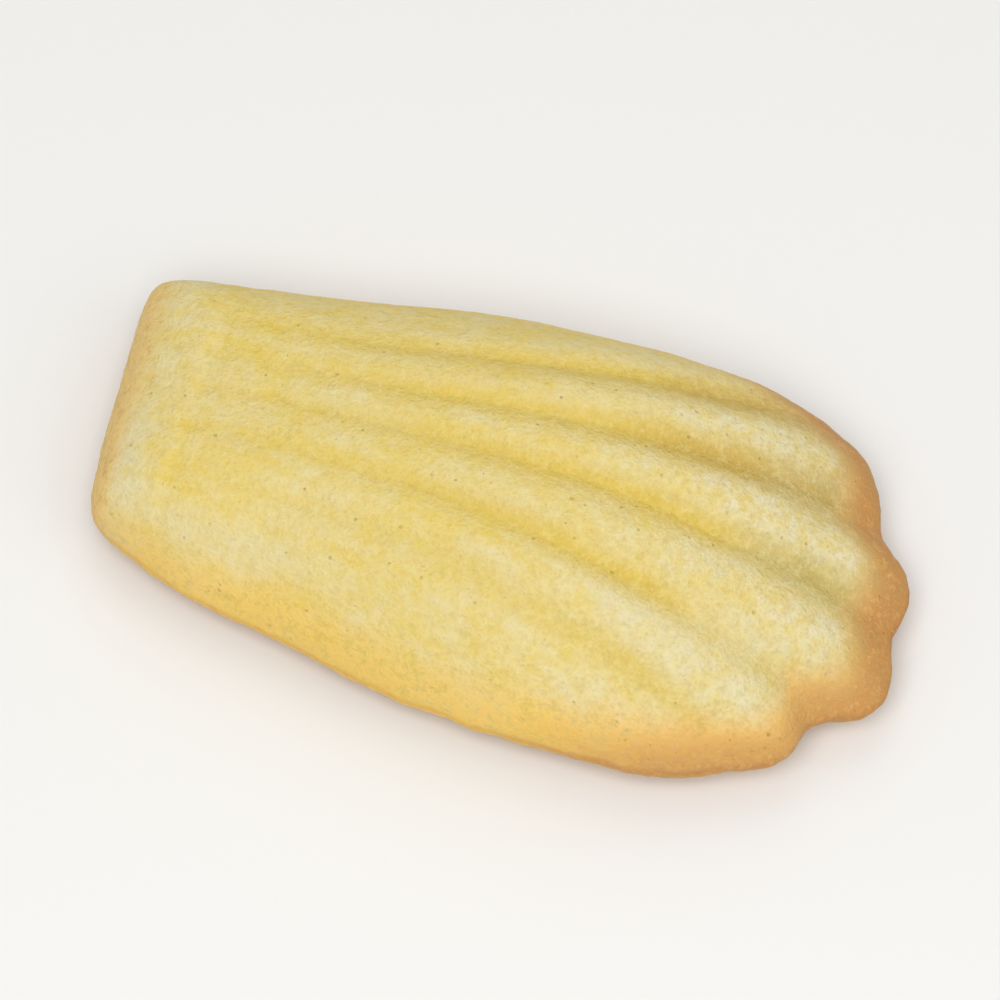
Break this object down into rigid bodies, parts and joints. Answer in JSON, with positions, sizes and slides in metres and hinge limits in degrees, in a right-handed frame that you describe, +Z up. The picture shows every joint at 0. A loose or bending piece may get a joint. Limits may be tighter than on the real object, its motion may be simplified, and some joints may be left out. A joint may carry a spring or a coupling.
{
  "type": "madeleine cake",
  "caption": "Ribbed sponge cake in the shape of a shell: its ribs fan out from a straight narrow end to a scalloped, browned wide end, over a low domed underside.",
  "frame": {"origin": "centre of the footprint, on the surface that the cake lies on, at the flat spot of its underside", "axes": "+X along the cake from the narrow end to the scalloped wide end, +Z up through the ribbed side"},
  "size_m": [0.0794, 0.0422, 0.0173],
  "materials": {
    "crust": "matte baked sponge crust, pale yellow on the ribs, golden brown along the rim of the wide end"
  },
  "bodies": {
    "root": {"madeleine": "crust"}
  },
  "joints": []
}
